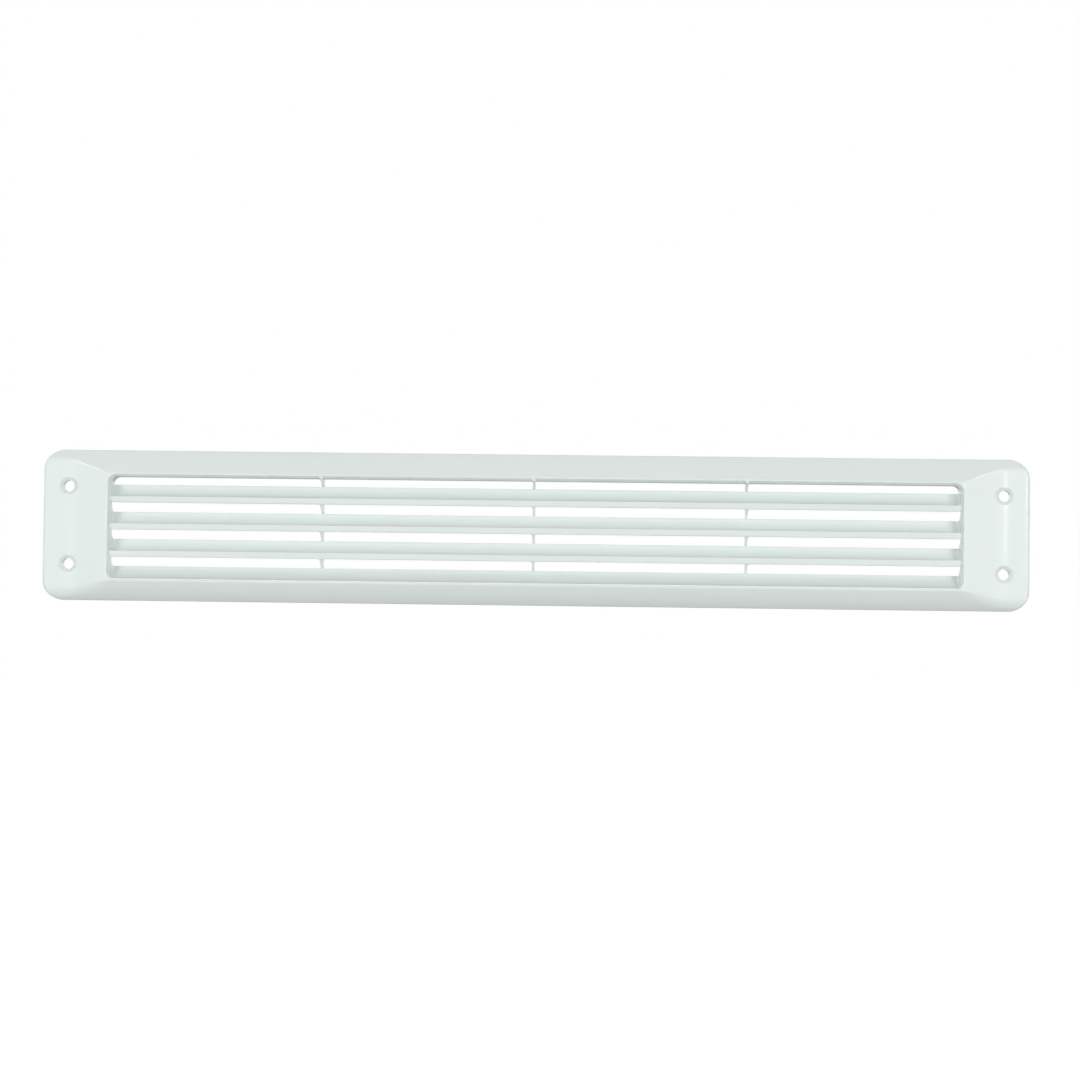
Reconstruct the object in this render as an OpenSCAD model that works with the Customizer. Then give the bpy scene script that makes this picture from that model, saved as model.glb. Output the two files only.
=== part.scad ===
// Louvred vent: a long hooded frame that screws over an air opening in a wall.
// Three lipped blades and a sill scoop down to the front inside it, and three
// ribs behind the slots tie them together. X runs along the vent, Z is up and
// the front faces -Y. The back lies on the wall at y = 0, and the origin is the
// middle of the four screw holes there. All sizes are in millimetres.

/* [Frame] */
// Length of the frame
frame_length = 430; // [330:1:600]
// Height of the frame
frame_height = 66; // [60:1:90]
// Radius of the frame's four corners
corner_radius = 9; // [5:0.5:12]
// Width of each end, from the edge to the opening
end_width = 29.5; // [28:0.5:45]
// Width of the top rail, from the edge to the opening
top_rail_width = 12.1; // [10:0.1:16]
// Width of the bottom rail, from the edge to the opening
bottom_rail_width = 10.1; // [9:0.1:14]
// Height of the upright edge along the rails
edge_height = 1.6; // [1:0.1:2.4]
// How far each rail's slope bulges from a straight line
rail_bulge = 0.7; // [0.2:0.1:1.2]

/* [Opening] */
// Height of the rim round the opening, from the wall
rim_height = 10; // [9:0.25:13]
// Radius of the rim's rounded inner edge
rim_radius = 0.5; // [0.3:0.1:1]
// How far the opening's walls flare out between the lips and the rim
opening_flare = 0.8; // [0.2:0.1:1.2]
// Radius of the opening's four corners
opening_radius = 2.8; // [1:0.1:5]
// How much longer the opening is behind the slots, at each end
end_relief = 1.6; // [1:0.1:2]

/* [Ends] */
// Height of the flat at each end, from the wall
flat_height = 5.2; // [4:0.1:6]
// Length of the ramp from the rim down to the flat
ramp_run = 20; // [18:0.5:24]
// Radius of the hollow where the ramp meets the flat
ramp_blend = 25; // [5:1:30]
// Radius of the round on the outer edge of the flat
edge_round = 1.5; // [0.5:0.1:2]

/* [Walls] */
// Thickness of the face, from front to back
skin = 2.4; // [1.8:0.1:3]
// Thickness of the upright walls at the edge
wall = 2; // [1.4:0.1:2.6]
// Thickness of the walls round the opening
collar = 3.4; // [3.2:0.1:4]
// Thickness of the cross webs inside the rails
web = 1.5; // [1:0.1:2.5]

/* [Screw holes] */
// Diameter of the screw holes
hole_diameter = 5; // [3.5:0.1:6]
// Diameter of the countersinks at the face
countersink_diameter = 7.4; // [7:0.1:9.5]
// Diameter of the bosses behind the holes
boss_diameter = 9.6; // [8:0.1:11]
// Distance from the end of the frame to the holes
hole_inset = 10.9; // [8:0.1:14]
// Distance between the two holes of one end
hole_spacing = 34; // [20:0.5:44]

/* [Blades] */
// Distance from the rim back to the lips
lip_setback = 1.4; // [0.5:0.1:2.5]
// Height of each lip
lip_height = 2.8; // [2.2:0.1:3.6]
// Thickness of each lip
lip_thickness = 1.1; // [0.8:0.1:1.6]
// How far the top of each lip stands in front of its bottom
lip_lean = 0.6; // [0:0.1:0.8]
// Radius of the rounds along the top of each lip
lip_round = 0.3; // [0.1:0.05:0.4]
// How far each lip stands above the valley behind it
lip_upstand = 0.9; // [0.3:0.1:1.4]
// Height of a blade, from the bottom of its lip to its rear edge
blade_rise = 8.35; // [6:0.05:9.5]
// How far the top of a blade or the sill is scooped below a straight slope
scoop_depth = 0.8; // [0.4:0.1:1]
// Thickness of the blades
blade_thickness = 1.8; // [1.2:0.1:2.2]
// Distance from the wall to the blades' rear edges
blade_back = 1.5; // [1:0.1:2.5]
// Radius of the round on the blades' rear edges
crest_radius = 0.35; // [0.2:0.05:0.5]
// Clear height above the rear edge of the top blade
top_gap = 2.65; // [2:0.05:4]
// Height of the sill's rear edge above the bottom of the opening
sill_rise = 5.5; // [4:0.05:7]
// Height of the sill's front edge
sill_edge = 0.5; // [0.3:0.1:0.8]
// Radius of the fillets where the blades meet the opening's ends
end_fillet = 1.5; // [0.5:0.1:2]

/* [Ribs] */
// Thickness of the ribs
rib_thickness = 1.3; // [1:0.1:2.5]
// Radius of the flares where a rib meets the underside of a blade
rib_flare = 0.9; // [0.3:0.1:1.2]
// Radius of the flares where a rib meets the top of the opening
head_flare = 0.4; // [0.2:0.1:1]
// Height of each rib's front face, just behind the rim
rib_head = 0.7; // [0.4:0.1:1]

/* [Hidden] */
$fn = 64;

// Colour of the moulding
moulding = [0.90, 0.94, 0.93];
// Segments in each curve of a profile
curve_steps = 10;
// Segments in the circles that the scoops are cut from
scoop_segments = 96;
// Segments in the circles of the fillets and flares
fillet_segments = 24;
// How far a cutting solid reaches past what it cuts
reach = 1;
// Blades between the top of the opening and the sill
blade_count = 3;

opening_length = frame_length - 2 * end_width;
opening_top = frame_height / 2 - top_rail_width;
opening_bottom = bottom_rail_width - frame_height / 2;
opening_height = opening_top - opening_bottom;
opening_middle = (opening_top + opening_bottom) / 2;

rim_margin = opening_flare + rim_radius;
ring_x = opening_length / 2 + rim_margin;
ramp_rise = rim_height - flat_height;
ramp_root = sqrt(ramp_run * ramp_run - (2 * ramp_blend - ramp_rise) * ramp_rise);
ramp_angle = 2 * atan(ramp_rise / (ramp_run + ramp_root));

blade_pitch = (opening_height - top_gap - sill_rise) / blade_count;
lip_front = lip_setback - rim_height;
lip_back = lip_front + lip_thickness;
rear_edge = -blade_back;
valley_height = lip_height - lip_upstand;
rim_back = rim_radius - rim_height;
rib_pitch = opening_length / 4;

// Height of a blade's rear edge, counted down from the top blade at 0. The
// sill is the one after the last blade.
function rear_height(index) = opening_top - top_gap - index * blade_pitch;

// Points along a circle between two angles
function arc(centre, radius, start, end) = [
    for (step = [0:curve_steps])
        let (angle = start + (end - start) * step / curve_steps)
        centre + radius * [cos(angle), sin(angle)]
];

// Radius of the circle through two points that bulges from the line between
// them
function bulge_radius(from, to, bulge) =
    pow(norm(to - from), 2) / (8 * bulge) + bulge / 2;

// Centre of that circle, which bulges to the left of the line
function bulge_centre(from, to, bulge) =
    let (along = (to - from) / norm(to - from))
    let (left = [-along[1], along[0]])
    (from + to) / 2 - (bulge_radius(from, to, bulge) - bulge) * left;

// Points along that circle, from one end of the line to the other
function bulged(from, to, bulge) =
    let (radius = bulge_radius(from, to, bulge))
    let (centre = bulge_centre(from, to, bulge))
    let (away = (from + to) / 2 - centre)
    let (middle = atan2(away[1], away[0]))
    let (half_angle = asin(norm(to - from) / 2 / radius))
    arc(centre, radius, middle + half_angle, middle - half_angle);

// Ends of the scoop on a blade or the sill, in Y and Z: the crest at its rear
// edge, and the foot in the valley or behind the rim
function scoop_crest(index) =
    [rear_edge - 2 * crest_radius, rear_height(index) - crest_radius];
function scoop_foot(index) =
    index == blade_count
        ? [rim_back, opening_bottom - opening_flare + sill_edge]
        : [lip_back, rear_height(index) - blade_rise + valley_height];
function scoop_radius(index) =
    bulge_radius(scoop_crest(index), scoop_foot(index), scoop_depth);
function scoop_centre(index) =
    bulge_centre(scoop_crest(index), scoop_foot(index), scoop_depth);

// The same points on the other side of the vent, in reverse order
function mirrored(points) = [
    for (index = [len(points) - 1:-1:0])
        [-points[index][0], points[index][1]]
];

// A section in Y and Z, drawn out along X
module along_x(length) {
    rotate([90, 0, 90])
        linear_extrude(length, center = true)
            children();
}

// An outline in X and Z, drawn out from the wall to the front
module from_wall(depth) {
    rotate([90, 0, 0])
        linear_extrude(depth)
            children();
}

module rounded_rectangle(width, height, radius) {
    square([width - 2 * radius, height], center = true);
    square([width, height - 2 * radius], center = true);
    for (x = [-1, 1], y = [-1, 1])
        translate([x * (width / 2 - radius), y * (height / 2 - radius)])
            circle(radius);
}

// The frame's outline, drawn in from the edge
module frame_outline(inset) {
    rounded_rectangle(
        frame_length - 2 * inset,
        frame_height - 2 * inset,
        corner_radius - inset
    );
}

// Outline of the air opening, with a margin round it
module opening_outline(margin) {
    translate([0, opening_middle])
        rounded_rectangle(
            opening_length + 2 * margin,
            opening_height + 2 * margin,
            opening_radius + margin
        );
}

// One side of the opening's section, at the given distance from its middle:
// straight up to the lips, flared out to the rim and straight again
function opening_side(half) = [
    [half, -reach],
    [half, -lip_back],
    [half + opening_flare, -rim_back],
    [half + opening_flare, rim_height + reach],
];

module opening_section(half) {
    polygon(concat(opening_side(half), mirrored(opening_side(half))));
}

// The air opening, from behind the wall to in front of the rim
module opening_block() {
    straight_x = opening_length / 2 - opening_radius;
    straight_z = opening_height / 2 - opening_radius;
    translate([0, 0, opening_middle]) {
        along_x(2 * straight_x)
            rotate(90)
                opening_section(opening_height / 2);
        linear_extrude(2 * straight_z, center = true)
            mirror([0, 1])
                opening_section(opening_length / 2);
        for (x = [-1, 1], z = [-1, 1])
            translate([x * straight_x, 0, z * straight_z])
                rotate([90, 0, 0])
                    rotate_extrude()
                        polygon(concat(
                            opening_side(opening_radius),
                            [[0, rim_height + reach], [0, -reach]]
                        ));
    }
}

// Section across the rails: the upright edges, the bulged slopes and the level
// of the rim between them
module rail_section() {
    half = frame_height / 2;
    polygon(concat(
        [[0, half], [0, -half]],
        bulged(
            [-edge_height, -half],
            [-rim_height, opening_bottom - rim_margin],
            rail_bulge
        ),
        bulged(
            [-rim_height, opening_top + rim_margin],
            [-edge_height, half],
            rail_bulge
        )
    ));
}

// Section along the vent: at each end a flat, a hollow blend and a straight
// ramp up to the level of the rim
module end_section() {
    half = frame_length / 2;
    blend_centre = [-ring_x - ramp_run, -flat_height - ramp_blend];
    left = concat(
        [[-half, 0], [-half, -flat_height]],
        arc(blend_centre, ramp_blend, 90, 90 - ramp_angle),
        [[-ring_x, -rim_height]]
    );
    polygon(concat(left, mirrored(left)));
}

// Half of the section across a slab with a rounded front edge
module slab_section(half) {
    square([half, flat_height - edge_round]);
    square([half - edge_round, flat_height]);
    translate([half - edge_round, flat_height - edge_round])
        circle(edge_round);
}

// The frame's outline with the round that runs round its ends
module rounded_slab() {
    straight_x = frame_length / 2 - corner_radius;
    straight_z = frame_height / 2 - corner_radius;
    for (x = [-1, 1], z = [-1, 1])
        translate([x * straight_x, 0, z * straight_z])
            rotate([90, 0, 0])
                rotate_extrude()
                    slab_section(corner_radius);
    along_x(2 * straight_x)
        for (side = [0, 1])
            mirror([0, side])
                rotate(90)
                    slab_section(frame_height / 2);
    linear_extrude(2 * straight_z, center = true)
        for (side = [0, 1])
            mirror([side, 0])
                mirror([0, 1])
                    slab_section(frame_length / 2);
}

// Rails and ramps together, which meet in a mitre at each corner
module hood_form() {
    intersection() {
        along_x(frame_length)
            rail_section();
        linear_extrude(frame_height, center = true)
            end_section();
    }
}

module outer_form() {
    intersection() {
        hood_form();
        union() {
            rounded_slab();
            from_wall(rim_height + reach)
                frame_outline(edge_round);
        }
    }
}

// A copy of the children at each of the four screw holes
module at_screw_holes() {
    for (x = [-1, 1], z = [-1, 1])
        translate([x * (frame_length / 2 - hole_inset), 0, z * hole_spacing / 2])
            rotate([90, 0, 0])
                children();
}

// The hollow behind the face. It leaves the skin, the edge wall, the wall
// round the opening, the screw bosses and a web behind each rib's place.
module back_hollow() {
    difference() {
        intersection() {
            translate([0, skin, 0])
                hood_form();
            translate([0, skin + reach, 0])
                from_wall(rim_height + skin + reach)
                    frame_outline(wall);
        }
        translate([0, reach, 0])
            from_wall(rim_height + reach)
                opening_outline(collar);
        at_screw_holes()
            cylinder(d = boss_diameter, h = flat_height);
        for (place = [-1:1])
            translate([place * rib_pitch, 0, 0])
                cube([web, 2 * rim_height, frame_height], center = true);
    }
}

// What is taken off the rim to round it: the band in front of a round bead
// that runs round the opening
module rim_cut() {
    side_x = opening_length / 2 - opening_radius;
    side_z = opening_height / 2 - opening_radius;
    bead_path = opening_radius + rim_margin;
    difference() {
        translate([0, rim_back, 0])
            from_wall(rim_radius + reach)
                opening_outline(rim_margin);
        translate([0, rim_back, opening_middle]) {
            for (x = [-1, 1])
                translate([x * (side_x + bead_path), 0, 0])
                    cylinder(r = rim_radius, h = 2 * side_z, center = true);
            for (z = [-1, 1])
                translate([0, 0, z * (side_z + bead_path)])
                    rotate([0, 90, 0])
                        cylinder(r = rim_radius, h = 2 * side_x, center = true);
            for (side = [0, 1], level = [0, 1])
                mirror([side, 0, 0])
                    mirror([0, 0, level])
                        translate([side_x, 0, side_z])
                            rotate([90, 0, 0])
                                rotate_extrude(angle = 90)
                                    translate([bead_path, 0])
                                        circle(rim_radius);
        }
    }
}

// Bore and countersink of one screw, from the wall to in front of the face
module screw_cut() {
    cone_depth = (countersink_diameter - hole_diameter) / 2;
    translate([0, 0, -reach])
        cylinder(d = hole_diameter, h = flat_height + 2 * reach);
    translate([0, 0, flat_height - cone_depth])
        cylinder(
            d1 = hole_diameter,
            d2 = countersink_diameter + 2 * reach,
            h = cone_depth + reach
        );
}

// What is cut from the ends of the opening behind the slots, from the rear
// edge of the top blade down
module end_relief_cut() {
    along_x(opening_length + 2 * end_relief)
        intersection() {
            rear_space();
            translate([lip_back, opening_bottom])
                square([reach - lip_back, rear_height(0) - opening_bottom]);
        }
}

module face_frame() {
    color(moulding)
        difference() {
            outer_form();
            back_hollow();
            opening_block();
            end_relief_cut();
            rim_cut();
            at_screw_holes()
                screw_cut();
        }
}

// Section of the scooped part of a blade or the sill, down to a level
module scoop_section(index, level) {
    foot = scoop_foot(index);
    crest = scoop_crest(index);
    intersection() {
        translate(scoop_centre(index))
            difference() {
                circle(scoop_radius(index) + blade_thickness, $fn = scoop_segments);
                circle(scoop_radius(index), $fn = scoop_segments);
            }
        translate([foot[0], level])
            square([rear_edge - foot[0], crest[1] - level]);
    }
    translate([rear_edge - crest_radius, crest[1]])
        circle(crest_radius);
}

// Section of a blade: a lip that leans forward, a valley behind it and a scoop
// up to the rear edge
module blade_section(index) {
    base = rear_height(index) - blade_rise;
    top = base + lip_height;
    scoop_section(index, base);
    polygon([
        [lip_front + lip_lean, base],
        [lip_back, base],
        [lip_back, top - lip_round],
        [lip_back - lip_round, top],
        [lip_front + lip_round, top],
        [lip_front, top - lip_round],
    ]);
    for (y = [lip_front + lip_round, lip_back - lip_round])
        translate([y, top - lip_round])
            circle(lip_round);
}

// Section of the sill. The frame's bottom wall cuts it off below.
module sill_section() {
    scoop_section(blade_count, opening_bottom - opening_flare);
}

// Fillets between a scoop and the two ends of the opening
module end_fillets(index) {
    foot = scoop_foot(index);
    radius = scoop_radius(index);
    intersection() {
        along_x(opening_length)
            translate([lip_back, foot[1] - scoop_depth])
                square([rear_edge - lip_back, scoop_crest(index)[1] - foot[1] + scoop_depth]);
        for (side = [0, 1])
            mirror([side, 0, 0])
                translate(concat([-opening_length / 2], scoop_centre(index)))
                    rotate([0, 90, 0])
                        rotate_extrude($fn = scoop_segments)
                            difference() {
                                translate([radius - end_fillet, 0])
                                    square([end_fillet + crest_radius, end_fillet]);
                                translate([radius - end_fillet, end_fillet])
                                    circle(end_fillet, $fn = fillet_segments);
                            }
    }
}

module louvre_blade(index) {
    color(moulding)
        intersection() {
            opening_block();
            union() {
                along_x(opening_length + 2 * opening_flare)
                    blade_section(index);
                end_fillets(index);
            }
        }
}

// The bottom of the opening: a scoop that starts behind the rim
module sill_blade() {
    color(moulding)
        intersection() {
            opening_block();
            union() {
                along_x(opening_length + 2 * opening_flare)
                    sill_section();
                end_fillets(blade_count);
            }
        }
}

// Section of the space behind the slots. Each slot's front is a slanted line,
// from the lip or the rim above it down to the rear edge of the blade below.
module rear_space() {
    flared_top = opening_top + opening_flare;
    difference() {
        union() {
            translate([rear_edge, opening_bottom])
                square([reach - rear_edge, opening_height]);
            polygon([
                [rim_back, flared_top],
                [rim_back, flared_top - rib_head],
                [rear_edge, rear_height(0)],
                [rear_edge, flared_top],
            ]);
            for (index = [0:blade_count - 1])
                polygon([
                    [lip_back, rear_height(index) - blade_rise],
                    [rear_edge, rear_height(index + 1)],
                    [rear_edge, rear_height(index) - blade_thickness],
                ]);
        }
        for (index = [0:blade_count - 1])
            blade_section(index);
        sill_section();
    }
}

// Flare of a rib, drawn across a surface at the given distance along the first
// axis
module flare_section(surface, direction, radius) {
    half = rib_thickness / 2 + radius;
    depth = radius + opening_flare;
    tip = surface + direction * radius;
    difference() {
        translate([direction > 0 ? surface - depth : tip, -half])
            square([radius + depth, 2 * half]);
        for (side = [-1, 1])
            translate([tip, side * half])
                circle(radius, $fn = fillet_segments);
    }
}

// A rib stands behind the slots and across the whole opening. It flares out
// where it meets the top of the opening and the underside of each blade.
module rib(place) {
    color(moulding)
        translate([place * rib_pitch, 0, 0])
            intersection() {
                opening_block();
                along_x(rib_pitch)
                    intersection() {
                        rear_space();
                        translate([-rim_height, -frame_height / 2])
                            square([rim_height, frame_height]);
                    }
                union() {
                    cube([rib_thickness, 2 * rim_height, frame_height], center = true);
                    from_wall(rim_height)
                        mirror([1, -1])
                            flare_section(opening_top, -1, head_flare);
                    for (index = [0:blade_count - 1])
                        translate(concat([0], scoop_centre(index)))
                            rotate([0, 90, 0])
                                rotate_extrude($fn = scoop_segments)
                                    flare_section(scoop_radius(index) + blade_thickness, 1, rib_flare);
                }
            }
}

face_frame();
louvre_blade(0);  // louvre_blade_top
louvre_blade(1);  // louvre_blade_middle
louvre_blade(2);  // louvre_blade_bottom
sill_blade();
rib(-1);  // rib_left
rib(0);  // rib_centre
rib(1);  // rib_right
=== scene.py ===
"""Louvred vent, dressed for the camera.

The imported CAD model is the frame. A hooded face frame, three lipped blades, a
sill and three tie ribs stand for its nodes, in one glossy white plastic. They
are finer meshes, with softer edges and some sizes trimmed by less than 2 mm.
X runs along the vent, Z is up, the front faces -Y and the back lies at y = 0.
The origin is the middle of the four screw holes.
"""

import logging
import math
from dataclasses import dataclass
from enum import Enum
from typing import Sequence

import bmesh
import bpy
from mathutils import Matrix
from mathutils import Vector


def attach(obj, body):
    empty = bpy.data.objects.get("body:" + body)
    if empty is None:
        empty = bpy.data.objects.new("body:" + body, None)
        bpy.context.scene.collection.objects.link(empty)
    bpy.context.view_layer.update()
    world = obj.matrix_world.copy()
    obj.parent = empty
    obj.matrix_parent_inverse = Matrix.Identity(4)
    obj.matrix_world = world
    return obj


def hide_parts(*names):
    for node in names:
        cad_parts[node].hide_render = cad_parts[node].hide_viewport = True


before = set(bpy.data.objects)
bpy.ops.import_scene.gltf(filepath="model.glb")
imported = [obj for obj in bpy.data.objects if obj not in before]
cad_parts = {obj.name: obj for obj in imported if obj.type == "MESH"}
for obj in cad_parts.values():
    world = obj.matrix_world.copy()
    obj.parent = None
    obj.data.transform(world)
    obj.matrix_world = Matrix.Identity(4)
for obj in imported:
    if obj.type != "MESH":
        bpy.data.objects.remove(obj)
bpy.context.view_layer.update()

log = logging.getLogger("vent")

MM = 0.001
BODY = "root"
SLOT = "moulded_plastic"
SHARP_ANGLE = math.radians(32)
MERGE_DISTANCE = 0.0001 * MM
ARC_STEPS = 6
SMALL_ARC_STEPS = 3
WHITE = (1.0, 1.0, 1.0, 1.0)

Piece = bpy.types.Object
Loop = Sequence[Vector]
Profile = Sequence[tuple[float, float]]


class Ends(Enum):
    """How a loft ends."""

    JOINED = "the last loop meets the first"
    CAPPED = "each end is closed by a flat face"


class Cut(Enum):
    """What a boolean modifier does with its tool."""

    JOIN = "UNION"
    TAKE_AWAY = "DIFFERENCE"


class VentEnd(Enum):
    """An end of the vent, by its sign along X."""

    LEFT = -1
    RIGHT = 1


class Rail(Enum):
    """A rail of the frame, by its sign along Z."""

    BOTTOM = -1
    TOP = 1


class RibPlace(Enum):
    """The place of a rib, counted in rib pitches from the middle."""

    LEFT = -1
    CENTRE = 0
    RIGHT = 1


@dataclass(frozen=True)
class Corner:
    """A corner of a section in Y and Z, with the radius that rounds it."""

    y: float
    z: float
    radius: float = 0.0

    def place(self) -> Vector:
        """The sharp corner as a point."""
        return Vector((self.y, self.z))


@dataclass(frozen=True)
class Station:
    """A place on the way round a rounded rectangle.

    side_x and side_z run from -1 to 1 along the straight parts, and normal_x
    and normal_z point outwards.
    """

    side_x: float
    side_z: float
    normal_x: float
    normal_z: float


@dataclass(frozen=True)
class Outline:
    """A rounded rectangle in X and Z."""

    length: float
    low: float
    high: float
    radius: float

    def at(self, station: Station, outset: float) -> Vector:
        """Finds a point on an outline drawn a little further out than this one.

        Args:
            station: The place on the way round.
            outset: How far out, less than 0 for further in.

        Returns:
            The point, as X and Z.
        """
        radius = self.radius + outset
        reach_x = self.length / 2 - self.radius
        reach_z = (self.high - self.low) / 2 - self.radius
        return Vector((
            station.side_x * reach_x + station.normal_x * radius,
            (self.high + self.low) / 2 + station.side_z * reach_z + station.normal_z * radius,
        ))


def in_front(spot: Vector, depth: float) -> Vector:
    """The point that stands in front of a spot on the wall, given in X and Z."""
    return Vector((spot.x, -depth, spot.y))


def shares(steps: int) -> list[float]:
    """Equal steps after 0, up to and with 1."""
    return [step / steps for step in range(1, steps + 1)]


def quarter(steps: int) -> list[tuple[float, float]]:
    """Sine and cosine at equal steps from 0 to 90 degrees."""
    angles = [math.pi / 2 * step / steps for step in range(steps + 1)]
    return [(math.sin(angle), math.cos(angle)) for angle in angles]


def ring_stations(long_steps: int, short_steps: int, corner_steps: int) -> list[Station]:
    """Lists the stations round a rounded rectangle, closer together near corners.

    Args:
        long_steps: Steps along the top and the bottom.
        short_steps: Steps along each end.
        corner_steps: Steps round each corner.

    Returns:
        The stations in order, from the left end of the top.
    """
    stations = []
    for turn in range(4):
        steps = long_steps if turn % 2 == 0 else short_steps
        cosine = round(math.cos(turn * math.pi / 2))
        sine = round(math.sin(turn * math.pi / 2))
        for step in range(steps):
            along = -math.cos(math.pi * step / steps)
            stations.append(Station(cosine * along + sine, cosine - sine * along, sine, cosine))
        for step in range(corner_steps):
            angle = (turn + step / corner_steps) * math.pi / 2
            stations.append(Station(cosine + sine, cosine - sine, math.sin(angle), math.cos(angle)))
    return stations


def rounded_section(corners: Sequence[Corner]) -> list[Vector]:
    """Draws a section with its corners rounded.

    Args:
        corners: The sharp corners in order. One with no radius stays sharp.

    Returns:
        The points of the section, as Y and Z.
    """
    points = []
    for index, corner in enumerate(corners):
        here = corner.place()
        if not corner.radius:
            points.append(here)
            continue
        back = (corners[index - 1].place() - here).normalized()
        ahead = (corners[(index + 1) % len(corners)].place() - here).normalized()
        half_angle = back.angle(ahead) / 2
        centre = here + (back + ahead).normalized() * corner.radius / math.sin(half_angle)
        start = here + back * corner.radius / math.tan(half_angle) - centre
        end = here + ahead * corner.radius / math.tan(half_angle) - centre
        start_angle = math.atan2(start.y, start.x)
        sweep = math.atan2(end.y, end.x) - start_angle
        sweep -= 2 * math.pi * round(sweep / (2 * math.pi))
        for share in [0.0] + shares(ARC_STEPS):
            angle = start_angle + sweep * share
            points.append(centre + Vector((math.cos(angle), math.sin(angle))) * corner.radius)
    return points


def clear_selection() -> None:
    """Leaves object mode with nothing selected."""
    if bpy.context.mode != "OBJECT":
        bpy.ops.object.mode_set(mode="OBJECT")
    bpy.ops.object.select_all(action="DESELECT")


def pick(piece: Piece) -> None:
    """Selects one object alone and makes it the active one.

    Args:
        piece: The object.
    """
    clear_selection()
    piece.select_set(True)
    bpy.context.view_layer.objects.active = piece


def loft(name: str, loops: Sequence[Loop], ends: Ends) -> Piece:
    """Draws a ring of vertices through loops, with one extrusion for each.

    Args:
        name: Name of the new object.
        loops: The loops, each with the same number of points.
        ends: What closes the two ends.

    Returns:
        The new object, a closed shell with its faces outwards.
    """
    clear_selection()
    filling = "NGON" if ends is Ends.CAPPED else "NOTHING"
    bpy.ops.mesh.primitive_circle_add(vertices=len(loops[0]), radius=1.0, fill_type=filling)
    piece = bpy.context.active_object
    piece.name = name
    piece.data.name = name
    bpy.ops.object.mode_set(mode="EDIT")
    shell = bmesh.from_edit_mesh(piece.data)
    order = shell.verts.layers.int.new("order")
    for index, vertex in enumerate(shell.verts):
        vertex[order] = index
    move_selected(piece, loops[0])
    for loop in loops[1:]:
        bpy.ops.mesh.extrude_region_move()
        move_selected(piece, loop)
    bpy.ops.mesh.select_all(action="SELECT")
    if ends is Ends.JOINED:
        bpy.ops.mesh.remove_doubles(threshold=MERGE_DISTANCE)
    bpy.ops.mesh.normals_make_consistent(inside=False)
    bpy.ops.object.mode_set(mode="OBJECT")
    piece.data.attributes.remove(piece.data.attributes["order"])
    return piece


def move_selected(piece: Piece, loop: Loop) -> None:
    """Moves the selected vertices to a loop, each to its own point.

    Args:
        piece: The object, in edit mode.
        loop: The points, in the order that the vertices were given.
    """
    shell = bmesh.from_edit_mesh(piece.data)
    order = shell.verts.layers.int["order"]
    for vertex in shell.verts:
        if vertex.select:
            vertex.co = loop[vertex[order]]
    bmesh.update_edit_mesh(piece.data)


def join(pieces: Sequence[Piece]) -> Piece:
    """Puts the meshes of several objects into the first one.

    Args:
        pieces: The objects.

    Returns:
        The first object.
    """
    clear_selection()
    for piece in pieces:
        piece.select_set(True)
    bpy.context.view_layer.objects.active = pieces[0]
    bpy.ops.object.join()
    return pieces[0]


def combine(piece: Piece, tool: Piece, cut: Cut) -> None:
    """Joins a tool's solid to a piece or takes it away, and removes the tool.

    Args:
        piece: The object that is kept.
        tool: The object that is used up.
        cut: Whether the tool is joined or taken away.
    """
    pick(piece)
    bpy.ops.object.modifier_add(type="BOOLEAN")
    modifier = piece.modifiers[-1]
    modifier.operation = cut.value
    modifier.solver = "EXACT"
    modifier.object = tool
    bpy.ops.object.modifier_apply(modifier=modifier.name)
    pick(tool)
    bpy.ops.object.delete()


def dress(piece: Piece, material: bpy.types.Material, node: str) -> None:
    """Gives a piece its finish and puts it in place of its CAD node.

    Args:
        piece: The finished mesh.
        material: The finish.
        node: The CAD node that the piece stands for.
    """
    pick(piece)
    bpy.ops.object.shade_smooth_by_angle(angle=SHARP_ANGLE)
    piece.data.materials.clear()
    piece.data.materials.append(material)
    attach(piece, BODY)
    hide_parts(node)


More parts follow.
